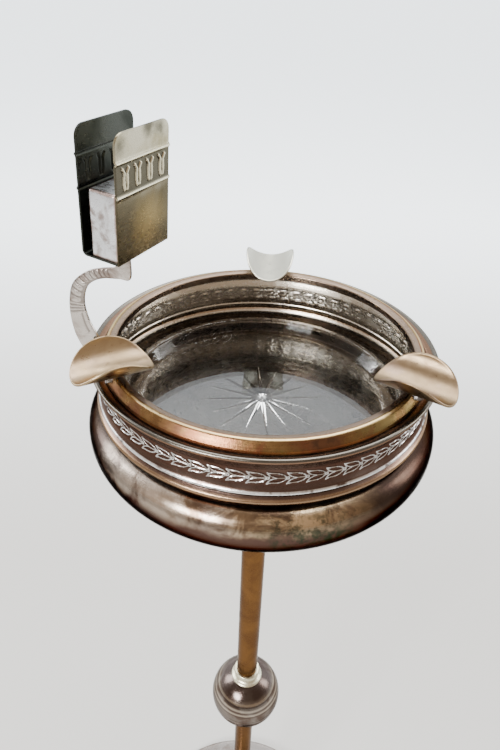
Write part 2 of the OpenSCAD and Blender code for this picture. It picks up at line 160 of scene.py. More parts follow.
def piece(name, shape, material, stands_for, body="stand", sharp=38, values=None):
    """A finished piece from one skin in millimetres. values is kept on its points as the
    attribute "relief"."""
    points, quads, tris = outward(shape)
    mesh = bpy.data.meshes.new(name)
    corners = np.concatenate([quads.ravel(), tris.ravel()]).astype(np.int32)
    sizes = np.concatenate([np.full(len(quads), 4), np.full(len(tris), 3)])
    starts = np.concatenate([[0], np.cumsum(sizes)[:-1]]).astype(np.int32)
    mesh.vertices.add(len(points))
    mesh.vertices.foreach_set("co", (points * 0.001).astype(np.float32).ravel())
    mesh.loops.add(len(corners))
    mesh.loops.foreach_set("vertex_index", corners)
    mesh.polygons.add(len(sizes))
    mesh.polygons.foreach_set("loop_start", starts)
    mesh.update(calc_edges=True)
    mesh.shade_smooth()
    mesh.set_sharp_from_angle(angle=math.radians(sharp))
    if values is not None:
        kept = mesh.attributes.new("relief", "FLOAT", "POINT")
        kept.data.foreach_set("value", np.resize(values, len(points)).astype(np.float32))
    mesh.materials.append(material)
    made = bpy.data.objects.new(name, mesh)
    bpy.context.scene.collection.objects.link(made)
    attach(made, body)
    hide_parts(*stands_for)
    return made


def ripple(angle, height, size, seed):
    """Slow unevenness of spun sheet: a sum of five sine waves round the axis and up it,
    from 0 down to -size."""
    r = np.random.default_rng(seed)
    total = 0
    for k in (2, 3, 5, 8, 13):
        total = total + np.sin(k * angle + r.uniform(0, 6) + height * r.uniform(0.01, 0.06)) / k
    return size * (total / 1.3 - 1) / 2


def turned(outline, columns=256, uneven=0.0, seed=1, ends="loop"):
    """The outline of (radius, height) points turned about the axis. With ends "fan" it
    starts and ends on the axis."""
    if ends == "fan":
        outline = outline[1:-1]
    angle = np.linspace(0, 2 * math.pi, columns, endpoint=False)[None, :]
    radius, height = outline[:, :1], outline[:, 1:]
    radius = radius + (ripple(angle, height, uneven, seed) if uneven else 0 * angle)
    height = height + 0 * angle
    rows = np.stack([radius * np.cos(angle), radius * np.sin(angle), height], -1)
    return skin(rows, ends)


def bearing_matrix(degrees):
    """Turn about the upright axis, as a matrix to put on the right of row vectors."""
    c, s = math.cos(math.radians(degrees)), math.sin(math.radians(degrees))
    return np.array([[c, s, 0], [-s, c, 0], [0, 0, 1]])


def lumps(points, size, scale, seed):
    """Points pushed by a sum of twelve sine waves in random directions, with waves about
    scale long, by at most about size."""
    r = np.random.default_rng(seed)
    push = np.zeros_like(points)
    for _ in range(12):
        way = r.normal(size=3)
        way /= np.linalg.norm(way)
        phase = points @ (way * 2 * math.pi / (scale * r.uniform(0.6, 1.8))) + r.uniform(0, 6.3)
        push += np.sin(phase)[..., None] * r.normal(size=3)
    return points + push * size / 6


def near_lines(x, y, lines):
    """Distance from each point (x, y) to the nearest of the segments that join the points
    of each line."""
    best = np.full(np.broadcast(x, y).shape, 1e9)
    for line in lines:
        for (ax, ay), (bx, by) in zip(line[:-1], line[1:]):
            dx, dy = bx - ax, by - ay
            t = np.clip(((x - ax) * dx + (y - ay) * dy) / (dx * dx + dy * dy), 0, 1)
            best = np.minimum(best, np.hypot(x - ax - t * dx, y - ay - t * dy))
    return best


# The bracket's place on the bowl, the way it points, and the holder that it carries.
ARM_R, ARM_BEARING, ARM_HEADING = 88.0, 180.9, -19
HOLDER_OUT, HOLDER_RISE = 23.3, 50.5
HOLDER_HEADING, HOLDER_LEAN = -25, 3.5


def level(length, bearing):
    """The level vector of a length along a bearing in degrees."""
    a = math.radians(bearing)
    return np.array([length * math.cos(a), length * math.sin(a), 0])


arm_root = level(ARM_R, ARM_BEARING) + [0, 0, RIM_Z]
holder_at = arm_root + level(HOLDER_OUT, ARM_HEADING) + [0, 0, HOLDER_RISE]


def in_holder(points):
    """From the holder's own axes (across the leaves, along them, up) to the frame's."""
    a = math.radians(HOLDER_LEAN)
    lean = np.array([[math.cos(a), 0, -math.sin(a)], [0, 1, 0], [math.sin(a), 0, math.cos(a)]])
    return points @ lean @ bearing_matrix(HOLDER_HEADING) + holder_at


# ---------------------------------------------------------------- materials

class Value:
    """A value in a material. Arithmetic on it adds Math nodes."""

    def __init__(self, look, socket):
        self.look, self.socket = look, socket

    def __add__(self, other): return self.look.math("ADD", self, other)
    def __radd__(self, other): return self.look.math("ADD", other, self)
    def __sub__(self, other): return self.look.math("SUBTRACT", self, other)
    def __rsub__(self, other): return self.look.math("SUBTRACT", other, self)
    def __mul__(self, other): return self.look.math("MULTIPLY", self, other)
    def __rmul__(self, other): return self.look.math("MULTIPLY", other, self)
    def __truediv__(self, other): return self.look.math("DIVIDE", self, other)
    def __pow__(self, other): return self.look.math("POWER", self, other)


class Look:
    """A material being made."""

    def __init__(self, name):
        self.material = bpy.data.materials.new(name)
        self.material.use_nodes = True
        self.tree = self.material.node_tree
        self.surface = self.tree.nodes["Principled BSDF"]

    def node(self, kind, inputs, out=0, **settings):
        """Any node: its settings by name and its inputs by name or place."""
        made = self.tree.nodes.new("ShaderNode" + kind)
        for key, value in settings.items():
            setattr(made, key, value)
        for key, value in inputs.items():
            self.put(made.inputs[key], value)
        return Value(self, made.outputs[out])

    def put(self, socket, value):
        """Links a Value to the socket, or sets it to a number or a colour."""
        if isinstance(value, Value):
            self.tree.links.new(value.socket, socket)
        elif isinstance(value, tuple) and len(value) == 3 and socket.type == "RGBA":
            socket.default_value = (*value, 1)
        else:
            socket.default_value = value

    def set(self, **inputs):
        """Inputs of the surface, with _ for a space."""
        for key, value in inputs.items():
            self.put(self.surface.inputs[key.replace("_", " ")], value)

    def math(self, operation, a, b=0.0):
        """One Math node."""
        return self.node("Math", {0: a, 1: b}, operation=operation)

    def place(self):
        """Object coordinates, in metres."""
        return self.node("TexCoord", {}, out="Object")

    def relief(self):
        """What the piece keeps on its points: the height of its raised work."""
        return self.node("Attribute", {}, out="Fac", attribute_name="relief")

    def split(self, vector):
        """The three parts of a vector."""
        made = self.tree.nodes.new("ShaderNodeSeparateXYZ")
        self.put(made.inputs[0], vector)
        return [Value(self, s) for s in made.outputs]

    def joined(self, x, y, z):
        """A vector of three parts."""
        return self.node("CombineXYZ", {0: x, 1: y, 2: z})

    def noise(self, vector, scale, detail=4, rough=0.55, warp=0.0):
        """Soft random cloud, about 0 to 1."""
        return self.node("TexNoise", {"Vector": vector, "Scale": scale, "Detail": detail,
                                      "Roughness": rough, "Distortion": warp})

    def rise(self, value, low, high):
        """0 below low, 1 above high, and a smooth step between them."""
        return self.node("MapRange", {"Value": value, "From Min": low, "From Max": high},
                         interpolation_type="SMOOTHSTEP")

    def band(self, value, low, high, soft):
        """1 between low and high, falling smoothly to 0 within soft at each end."""
        return self.rise(value, low - soft, low) * self.rise(value, high + soft, high)

    def mix(self, share, a, b):
        """Colour a where share is 0 and b where it is 1."""
        return self.node("Mix", {0: share, 6: a, 7: b}, out=2, data_type="RGBA")

    def round_the_axis(self):
        """Coordinates that run round the axis, up, and out: lines follow the lathe's turns."""
        x, y, z = self.split(self.place())
        return (self.math("ARCTAN2", y, x), self.math("SQRT", x * x + y * y), z)


def metal(name, clean, aged, dark, aged_at=(0.40, 0.62), dark_at=(0.58, 0.75), rough=0.2,
          lathe=True, tones=None, scale=22.0, pits=0.35, scratch=0.5, edge=0.55, bump=0.16):
    """Old bare or plated metal: two tones in clouds, dark spots, fine scratches, and a
    roughness that follows them. tones(look, colour) may lay further tones over it."""
    look = Look(name)
    place = look.place()
    cloud = look.noise(place, scale, 5, 0.6, 0.6)
    spots = look.noise(place, scale * 6, 6, 0.65)
    grain = look.noise(place, scale * 40, 3, 0.6)
    colour = look.mix(look.rise(cloud, *aged_at), clean, aged)
    colour = look.mix(look.rise(spots * 0.6 + cloud * 0.4, *dark_at) * 0.8, colour, dark)
    if tones:
        colour = tones(look, colour)
    if lathe:
        turn, out, up = look.round_the_axis()
        lines = look.noise(look.joined(turn * 0.35, up * 160, out * 160), 6, 4, 0.7)
    else:
        x, y, z = look.split(place)
        lines = look.noise(look.joined(x * 30, y * 30, z * 260), 5, 4, 0.7)
    worn = look.node("Bump", {"Strength": bump, "Distance": 0.0006,
                              "Height": lines * scratch + grain * pits + spots * 0.4})
    shine = rough + (cloud - 0.5) * 0.25 + (spots - 0.5) * 0.3 + (lines - 0.5) * 0.2
    look.set(Base_Color=colour, Roughness=look.math("MAXIMUM", shine, 0.07), Metallic=1.0,
             Normal=worn, Specular_Tint=(edge, edge, edge))
    return look.material


def bulb_tones(look, colour):
    """Brown-gold on top; darker grey-brown at the left and near black at the right, painted shade at
    the sides; purple-brown below, a painted reflection of a dark floor; a pale patch at the front
    left, a painted highlight; and green patches on the right of the front."""
    x, y, z = look.split(look.place())
    wide = look.noise(look.place(), 9, 3, 0.5, 0.5) - 0.5
    fine = look.noise(look.place(), 60, 5, 0.65, 0.6) - 0.5
    top = SHELF_Z / 1000
    # painted reflection of a dark floor: the lower bulb is darkened towards purple-brown
    low = look.rise(z + wide * 0.016 + fine * 0.004, top - 0.003, top - 0.014)
    colour = look.mix(low * 0.88, colour, (0.070, 0.040, 0.036))
    # painted shade: the left side of the bulb is darkened to grey-brown
    left = look.rise(x * -1 + wide * 0.08 + fine * 0.04, 0.045, 0.072)
    colour = look.mix(left * 0.85, colour, (0.050, 0.042, 0.041))
    # painted shade: the right side of the bulb is darkened to near black
    right = look.rise(x + wide * 0.06 + fine * 0.04, 0.038, 0.068)
    colour = look.mix(right * 0.88, colour, (0.032, 0.020, 0.018))
    # painted highlight: a pale patch on the front left of the shoulder, where the window is
    # reflected
    worn = look.rise(x * -1 + fine * 0.05, 0.0, 0.02) * look.rise(y * -1 + wide * 0.05, 0.04, 0.08)
    worn = worn * look.rise(x + fine * 0.05, -0.085, -0.06) * (1 - low)
    colour = look.mix(worn * look.rise(fine + wide, -0.10, 0.16) * 0.8, colour, (0.60, 0.50, 0.41))
    gold = look.rise(y * -1 + wide * 0.05, 0.06, 0.09) * look.rise(x + fine * 0.06, -0.02, 0.01)
    gold = gold * look.rise(x + fine * 0.06, 0.055, 0.03) * (1 - low)
    colour = look.mix(gold * look.rise(fine, -0.10, 0.08) * 0.9, colour, (0.74, 0.56, 0.35))
    patch = look.rise(look.noise(look.place(), 130, 6, 0.75), 0.44, 0.60)
    front = look.rise(x + fine * 0.05, -0.002, 0.010) * look.rise(x + fine * 0.05, 0.052, 0.034)
    front = front * look.rise(y * -1, 0.06, 0.08) * look.rise(z, top - 0.022, top - 0.014)
    return look.mix(patch * front * look.rise(z, top + 0.001, top - 0.006) * 0.75, colour,
                    (0.018, 0.036, 0.022))


def neck_tones(look, colour):
    """Dark red-brown in the hollow of the neck, grey-brown inside, bright silver on the
    raised outlines and one bead, brass on the lower bead, and a dark seam under it. The
    relief attribute is two lower on the inner face than the height of the work there."""
    up = look.split(look.place())[2]
    relief = look.relief()
    wear = look.noise(look.place(), 120, 4, 0.6) - 0.5
    low = SHELF_Z / 1000
    inside = look.rise(relief, -0.5, -0.9)
    hollow = look.rise(up, low + 0.010, low + 0.013) * look.rise(up, low + 0.0225, low + 0.0205)
    colour = look.mix(hollow * 0.75, colour, (0.055, 0.026, 0.018))
    lip = look.rise(up, low + 0.0262, low + 0.0275)
    colour = look.mix(lip * 0.85, colour, (0.21, 0.125, 0.08))
    top = look.rise(up, low + 0.0291, low + 0.0296)
    colour = look.mix(top * 0.9, colour, (0.12, 0.115, 0.10))
    colour = look.mix(inside * 0.95, colour, (0.60, 0.54, 0.45))
    raised = look.rise(relief + wear * 0.6, 0.26, 0.60)
    colour = look.mix(raised, colour, (0.62, 0.60, 0.58))
    colour = look.mix(look.rise(relief + wear, -1.7, -1.1) * inside * 0.5, colour,
                      (0.75, 0.74, 0.72))
    bead = look.band(up, low + 0.0076, low + 0.0091, 0.0006)
    colour = look.mix(bead * look.rise(wear, -0.14, 0.0) * (1 - inside), colour,
                      (0.80, 0.80, 0.80))
    brass = look.band(up, low + 0.0034, low + 0.0052, 0.0008)
    colour = look.mix(brass * 0.7, colour, (0.34, 0.22, 0.13))
    seam = look.rise(up, low + 0.0024, low + 0.0014)
    return look.mix(seam * 0.85, colour, (0.02, 0.014, 0.012))


def pan_tones(look, colour):
    """Dark brown up the wall behind the glass: painted shade."""
    out = look.round_the_axis()[1]
    # painted shade: the pan's wall behind the glass is darkened
    return look.mix(look.rise(out, 0.0600, 0.0690) * 0.85, colour, (0.125, 0.100, 0.076))


def rim_tones(look, colour):
    """Bright brass on the crest, a painted highlight, and taupe on the inner band."""
    out = look.round_the_axis()[1]
    wear = (look.noise(look.place(), 60, 4, 0.6) - 0.5) * 0.001
    inner = look.rise(out + wear, RIM_R / 1000 - 0.0002, RIM_R / 1000 - 0.0010)
    colour = look.mix(inner * 0.9, colour, (0.20, 0.15, 0.115))
    patch = look.noise(look.place(), 26, 4, 0.6, 0.5)
    colour = look.mix(look.rise(patch, 0.52, 0.62) * (1 - inner) * 0.7, colour, (0.20, 0.075, 0.04))
    colour = look.mix(look.rise(patch, 0.46, 0.38) * (1 - inner) * 0.7, colour, (0.17, 0.135, 0.05))
    # painted highlight: a bright brass ring along the crest
    crest = (look.rise(out + wear, RIM_R / 1000 - 0.0002, RIM_R / 1000 + 0.0003)
             * look.rise(out + wear, RIM_R / 1000 + 0.0013, RIM_R / 1000 + 0.0008))
    return look.mix(crest * 0.85, colour, (0.66, 0.49, 0.25))


def holder_point(across, along_leaf, up):
    """A place on the holder, in metres in the frame."""
    return tuple(in_holder(np.array([across, along_leaf, up], float)) * 0.001)


def leaf_tones(look, colour):
    """Pale at the top, olive-brown below the ridges with a golden middle, dark between the
    ridges and by the top corners, bright on the raised work."""
    relief = look.relief()
    place = look.place()
    z = look.split(place)[2]
    wear = look.noise(place, 150, 4, 0.6) - 0.5
    blot = look.noise(place, 45, 5, 0.65, 0.8) - 0.5
    foot = holder_at[2] / 1000

    def near(spot, small, large):
        away = look.node("VectorMath", {0: place, 1: spot}, out="Value", operation="DISTANCE")
        return look.rise(away + blot * 0.012, large, small)

    low = look.rise(z + blot * 0.012, foot + 0.036, foot + 0.024)
    colour = look.mix(low * 0.9, colour, (0.070, 0.056, 0.031))
    colour = look.mix(low * near(holder_point(10, 3, 15), 0.001, 0.017) * 0.9, colour,
                      (0.27, 0.20, 0.09))
    for spot in ((10, -16, 51), (10, 12, 53), (10, 4, 55)):
        colour = look.mix(near(holder_point(*spot), 0.0, 0.006) * 0.8, colour, (0.05, 0.045, 0.03))
    colour = look.mix(look.rise(relief, -0.05, -0.6) * 0.92, colour, (0.075, 0.068, 0.05))
    return look.mix(look.rise(relief + wear * 0.4, 0.35, 0.7), colour, (0.66, 0.61, 0.44))


def rest_tones(look, colour):
    """Rose-coloured in patches, darker at the right and still silvery at the back."""
    x, y = look.split(look.place())[:2]
    blush = look.rise(look.noise(look.place(), 38, 4, 0.6), 0.50, 0.62)
    colour = look.mix(blush * 0.7, colour, (0.30, 0.21, 0.175))
    colour = look.mix(look.rise(x, 0.0, -0.05) * 0.5, colour, (0.46, 0.34, 0.20))
    colour = look.mix(look.rise(x, 0.0, 0.05) * 0.5, colour, (0.18, 0.13, 0.08))
    return look.mix(look.rise(y, 0.02, 0.06) * 0.9, colour, (0.68, 0.66, 0.55))


def knop_tones(look, colour):
    """Three pale turned lines on the upper half, painted shade above them on the top of the ball,
    and silvery under.
    """
    up = look.split(look.place())[2]
    fine = (look.noise(look.place(), 200, 3, 0.6) - 0.5) * 0.0006
    above = (KNOP_Z + 17) / 1000
    # painted shade: the top of the ball is darkened above the lines
    colour = look.mix(look.rise(up + fine, above, above + 0.003) * 0.7, colour, (0.06, 0.042, 0.038))
    for height in (16.2, 11.8, 8.2):
        away = look.math("ABSOLUTE", up + fine - (KNOP_Z + height) / 1000)
        colour = look.mix(look.rise(away, 0.0013, 0.0003) * 0.42, colour, (0.56, 0.48, 0.38))
        away = look.math("ABSOLUTE", up + fine - (KNOP_Z + height - 1.5) / 1000)
        colour = look.mix(look.rise(away, 0.0010, 0.0002) * 0.5, colour, (0.06, 0.044, 0.038))
    return colour


def step_tones(look, colour):
    """Copper showing along the folded edges."""
    relief = look.relief()
    wear = look.noise(look.place(), 160, 4, 0.6) - 0.5
    return look.mix(look.rise(relief + wear * 0.8, 0.45, 0.85) * 0.75, colour, (0.34, 0.20, 0.15))


def arm_tones(look, colour):
    """Dark in the hollows between the beads and in the cut lines, and painted shadow at the top end
    under the holder.
    """
    relief = look.relief()
    z = look.split(look.place())[2]
    # painted shadow: the arm's top end just under the holder is darkened
    shadow_under_holder = look.rise(z, (RIM_Z + 41) / 1000, (RIM_Z + 45) / 1000)
    colour = look.mix(shadow_under_holder * 0.8, colour, (0.07, 0.055, 0.045))
    return look.mix(look.rise(relief, -0.2, -0.9) * 0.6, colour, (0.11, 0.085, 0.072))


bulb_metal = metal("bulb_metal", (0.24, 0.165, 0.10), (0.13, 0.082, 0.055), (0.04, 0.028, 0.022),
                   (0.42, 0.62), (0.58, 0.74), 0.21, tones=bulb_tones, edge=0.2)
neck_metal = metal("neck_metal", (0.17, 0.12, 0.10), (0.10, 0.062, 0.048), (0.03, 0.02, 0.017),
                   (0.36, 0.58), (0.60, 0.76), 0.26, tones=neck_tones, edge=0.4)
rim_metal = metal("rim_metal", (0.21, 0.122, 0.050), (0.15, 0.072, 0.038), (0.07, 0.038, 0.024),
                  (0.40, 0.58), (0.54, 0.68), 0.30, tones=rim_tones, scale=40, edge=0.5)
pan_metal = metal("pan_metal", (0.065, 0.059, 0.053), (0.047, 0.041, 0.036), (0.03, 0.023, 0.02),
                  (0.4, 0.6), (0.62, 0.78), 0.27, tones=pan_tones)
knop_metal = metal("knop_metal", (0.20, 0.17, 0.15), (0.10, 0.072, 0.058), (0.045, 0.03, 0.024),
                   (0.42, 0.60), (0.58, 0.73), 0.17, scale=55, tones=knop_tones)
collar_metal = metal("collar_metal", (0.66, 0.63, 0.47), (0.55, 0.50, 0.36), (0.12, 0.09, 0.06),
                     (0.48, 0.66), (0.62, 0.76), 0.34, scale=60)
stem_metal = metal("stem_metal", (0.150, 0.072, 0.024), (0.115, 0.054, 0.020), (0.045, 0.022, 0.011),
                   (0.42, 0.62), (0.60, 0.78), 0.24, scale=30)
rest_metal = metal("rest_metal", (0.30, 0.215, 0.125), (0.21, 0.14, 0.08), (0.07, 0.045, 0.025),
                   (0.45, 0.65), (0.60, 0.74), 0.33, lathe=False, scale=60, bump=0.05,
                   tones=rest_tones)
foot_metal = metal("foot_metal", (0.36, 0.32, 0.29), (0.22, 0.17, 0.14), (0.09, 0.065, 0.05),
                   (0.42, 0.62), (0.58, 0.74), 0.26)
arm_metal = metal("arm_metal", (0.54, 0.49, 0.45), (0.26, 0.20, 0.17), (0.075, 0.058, 0.048),
                  (0.45, 0.65), (0.60, 0.75), 0.3, lathe=False, scale=50, tones=arm_tones)
leaf_metal = metal("leaf_metal", (0.46, 0.42, 0.31), (0.30, 0.26, 0.16), (0.07, 0.06, 0.035),
                   (0.46, 0.68), (0.58, 0.72), 0.26, lathe=False, scale=40, tones=leaf_tones,
                   bump=0.07)
# painted shade: a near-black copy of the leaf metal, standing for the back leaf's shaded inner face
shaded_back_leaf_metal = metal("shaded_back_leaf_metal", (0.06, 0.063, 0.055), (0.035, 0.038, 0.032),
                        (0.02, 0.022, 0.018), (0.42, 0.62), (0.58, 0.72), 0.3, lathe=False,
                        scale=40)
step_metal = metal("step_metal", (0.80, 0.81, 0.84), (0.36, 0.30, 0.28), (0.17, 0.11, 0.09),
                   (0.50, 0.64), (0.60, 0.74), 0.3, lathe=False, scale=70, tones=step_tones)
solder_metal = metal("solder_metal", (0.48, 0.47, 0.47), (0.20, 0.18, 0.17), (0.04, 0.035, 0.03),
                     (0.42, 0.60), (0.52, 0.66), 0.3, lathe=False, scale=150, pits=1.2)
steel = metal("steel", (0.30, 0.29, 0.28), (0.18, 0.16, 0.14), (0.07, 0.05, 0.035), rough=0.34,
              lathe=False, scale=60)
iron = metal("iron", (0.12, 0.115, 0.11), (0.16, 0.10, 0.07), (0.05, 0.045, 0.04), rough=0.55,
             lathe=False, scale=60, pits=1.4)


def felt_look():
    """Dark green felt: fine fibres and a fuzzy, rough surface."""
    look = Look("felt")
    fibres = look.noise(look.place(), 900, 4, 0.7, 1.5)
    tufts = look.noise(look.place(), 90, 3, 0.6)
    colour = look.mix(look.rise(fibres, 0.3, 0.7), (0.035, 0.055, 0.035), (0.07, 0.095, 0.06))
    look.set(Base_Color=colour, Roughness=0.95, Sheen_Weight=0.4,
             Normal=look.node("Bump", {"Strength": 0.5, "Distance": 0.0004,
                                       "Height": fibres * 0.7 + tufts}))
    return look.material


def glass_look():
    """Clear pressed glass, faintly rubbed, its sloping side clearer than the rest."""
    look = Look("cut_glass")
    rubbed = look.noise(look.place(), 70, 5, 0.6)
    out, up = look.round_the_axis()[1:]
    side = (look.rise(out, 0.0655, 0.0675)
            * look.rise(up, SEAT_Z / 1000 + 0.0094, SEAT_Z / 1000 + 0.0088))
    look.set(Base_Color=(0.95, 0.96, 0.95), Roughness=look.rise(rubbed, 0.55, 0.9) * 0.12 + 0.015,
             IOR=1.5, Transmission_Weight=1.0, Specular_IOR_Level=0.2, Alpha=1 - side * 0.86)
    return look.material


felt = felt_look()
glass = glass_look()


# ---------------------------------------------------------------- foot

def base_outline():
    """Skirt, rounded edge, shallow step, then an ogee up to the flat top under the tube."""
    return path([(BASE_R, 1)], arc((BASE_R - 4, 7), 4, 0, 80, 12), [(BASE_R - 8.5, 11.6)],
                smooth([(BASE_R - 9.5, 12.6), (BASE_R - 22, 16.5), (60.5, 22.5), (36.3, 30.8),
                        (20.9, 43.7), (12.5, 54)], 12),
                [(LOWER_R + 4, 56), (4.4, 56)])


piece("base_shell_spun", turned(sheet(base_outline(), SHEET), 288, 0.12, 3), foot_metal,
      ["base_shell"])
ferrule = path([(LOWER_R + 0.05, 56), (LOWER_R + 3.9, 56), (LOWER_R + 4, 56.3),
                (LOWER_R + 4, 57.7), (LOWER_R + 3.7, 58.1)],
               arc((LOWER_R + 5.5, 64.5), 4, 240, 180, 10),
               [(LOWER_R + 2.3, 65.6), (LOWER_R + 2.4, 66), (LOWER_R + 2.4, 67.6),
                (LOWER_R + 2, 68), (LOWER_R + 0.05, 68)])
piece("base_ferrule_turned", turned(ferrule, 128), stem_metal, ["base_ferrule"])


# ---------------------------------------------------------------- stem

def tube(radius, z0, z1):
    """A tube with a 1 mm wall and broken edges, its outline stepped every 12 mm."""
    up = np.linspace(z0 + 0.2, z1 - 0.2, int((z1 - z0) / 12) + 2)
    outer = np.stack([np.full(len(up), radius), up], 1)
    inner = np.stack([np.full(len(up), radius - 1), up[::-1]], 1)
    return path([(radius - 0.2, z0)], outer, [(radius - 0.2, z1), (radius - 0.8, z1)], inner,
                [(radius - 0.8, z0)])


piece("lower_tube_drawn", turned(tube(LOWER_R, 56, KNOP_Z - 22), 96, 0.05, 4), stem_metal,
      ["lower_tube"])
piece("upper_tube_drawn", turned(tube(UPPER_R, KNOP_Z + 22, BOWL_Z), 96, 0.05, 5), stem_metal,
      ["upper_tube"])


def half_ball(hole, way):
    """Half of the ball, its open edge at the equator with a narrow rolled bead, and a hole
    for the tube at its pole. way is 1 for the upper half and -1 for the lower."""
    pole = math.degrees(math.acos(hole / KNOP_R))
    inner = math.degrees(math.acos(hole / (KNOP_R - 1)))
    p = path([(KNOP_R - 0.25, 0)], arc((0, 0), KNOP_R, 0.8, pole, 60),
             arc((0, 0), KNOP_R - 1, inner, 0, 24))
    return p * [1, way] + [0, KNOP_Z]


def collar(tube_r, way):
    """A waisted collar that seats on the ball, with two turned beads."""
    foot = math.sqrt(KNOP_R ** 2 - 144)
    p = path([(tube_r + 0.05, foot - 0.2 + 1.2), (11.4, foot + 0.1), (11.9, foot + 0.3),
              (12, foot + 0.7), (11.7, foot + 1.2)],
             arc((12.6, foot + 5.6), 4.2, 250, 150, 16),
             [(tube_r + 2.1, foot + 7.9), (tube_r + 2, foot + 8.4), (tube_r + 1.4, foot + 9),
              (tube_r + 0.05, foot + 9)])
    return p * [1, way] + [0, KNOP_Z]


piece("knop_upper_half", turned(half_ball(UPPER_R + 0.05, 1), 224, 0.1, 6), knop_metal,
      ["knop_upper_shell"])
piece("knop_lower_half", turned(half_ball(LOWER_R + 0.05, -1), 224, 0.1, 7), knop_metal,
      ["knop_lower_shell"])
piece("knop_top_collar_turned", turned(collar(UPPER_R, 1), 128), collar_metal,
      ["knop_top_collar"])
piece("knop_bottom_collar_turned", turned(collar(LOWER_R, -1), 128), collar_metal,
      ["knop_bottom_collar"])


# ---------------------------------------------------------------- bowl

flange = path([(UPPER_R + 0.05, BOWL_Z - 12), (UPPER_R + 1.8, BOWL_Z - 12),
               (UPPER_R + 2.1, BOWL_Z - 11.6), (UPPER_R + 2.4, BOWL_Z - 10)],
              arc((UPPER_R + 11, BOWL_Z - 10), 7.6, 170, 95, 16),
              [(UPPER_R + 12.7, BOWL_Z - 1.9), (UPPER_R + 13, BOWL_Z - 1.4),
               (UPPER_R + 13, BOWL_Z), (UPPER_R + 0.05, BOWL_Z)])
piece("bowl_flange_turned", turned(flange, 128), stem_metal, ["bowl_flange"])

bulb = path([(4.4, BOWL_Z), (15, BOWL_Z), (26, BOWL_Z)],
            oval((58, SHELF_Z - 14), 36, SHELF_Z - 17 - BOWL_Z, -90, 0, 56),
            arc((82.5, SHELF_Z - 12.3), 11.5, 0, 90, 28), [(77.15, SHELF_Z - 0.8)])
piece("bowl_body_spun", turned(sheet(bulb, SHEET), 360, 0.22, 8), bulb_metal,
      ["bowl_body"])

pan_in = GLASS_R + 0.6
pan = path([(0, SEAT_Z - 0.8), (20, SEAT_Z - 0.8), (50, SEAT_Z - 0.8)],
           arc((pan_in - 0.4, SEAT_Z + 0.4), 1.2, -90, 0, 6),
           [(pan_in + 0.8, SHELF_Z - 1.4), (pan_in + 1.2, SHELF_Z - 0.8), (82.4, SHELF_Z - 0.8)])
piece("bowl_pan_spun", turned(sheet(pan, 0.8), 256, ends="fan"), pan_metal,
      ["bowl_pan"])


# ---------------------------------------------------------------- gallery with its leaf chain

CHAIN_Z = RIM_Z - 17.5
CHAIN_COUNT, CHAIN_COLUMNS = 62, 18
CHAIN_PITCH = 2 * math.pi * (RIM_R + 4.6) / CHAIN_COUNT


def chain_height(x, y):
    """Height, from 0 to 1, of one pair of leaves and the parts of its neighbours that
    reach into it: raised outlines round two leaves that spring from a stem and end in
    separate curled tips, and a ringed dot where one pair meets the next."""
    leaf = [(-0.4, 3.1), (0.6, 2.75), (2.6, 2.65), (4.8, 2.4), (6.6, 1.75), (7.9, 0.6)]
    inner = [(-0.4, 3.1), (0.3, 1.9), (1.2, 1.0), (2.8, 0.3), (4.2, 0)]
    lines = [leaf, inner, [(4.2, 0), (7.9, 0)]]
    lines += [[(a, -b) for a, b in line] for line in lines[:2]]
    height = 0 * x * y
    for shift in (-CHAIN_PITCH, 0, CHAIN_PITCH):
        d = near_lines(x - shift, y, lines)
        ring = np.abs(np.hypot(x - shift - CHAIN_PITCH, y) - 0.62)
        height = np.maximum(height, np.exp(-(np.minimum(d, ring) / 0.33) ** 2))
    return height


def gallery_outline():
    """The band's outer face, and the share of it, 0 or 1, that the chain lies on."""
    neck = smooth([(85.7, SHELF_Z + 10.4), (84.8, SHELF_Z + 14), (84.5, SHELF_Z + 19.7),
                   (85.1, RIM_Z - 11.5), (86.6, RIM_Z - 7.6)], 30)
    fine = along(neck[(neck[:, 1] > CHAIN_Z - 4.8) & (neck[:, 1] < CHAIN_Z + 4.8)], 0.37)
    below = along(neck[neck[:, 1] <= CHAIN_Z - 4.8], 1.0)
    above = along(neck[neck[:, 1] >= CHAIN_Z + 4.8], 1.0)
    parts = [[(78.3, SHELF_Z), (86, SHELF_Z), (86.6, SHELF_Z + 1.6)],
             arc((86.2, SHELF_Z + 4.1), 1.7, -60, 60, 8), [(86, SHELF_Z + 6.6)],
             arc((85.6, SHELF_Z + 8.4), 1.2, -60, 60, 6), below, fine, above,
             arc((88.2, RIM_Z - 5), 1.3, -70, 100, 9),
             [(87, RIM_Z - 4.6), (85.6, RIM_Z - 5.7), (84.6, RIM_Z - 6.1), (80.5, RIM_Z - 6.1)]]
    return path(*parts)


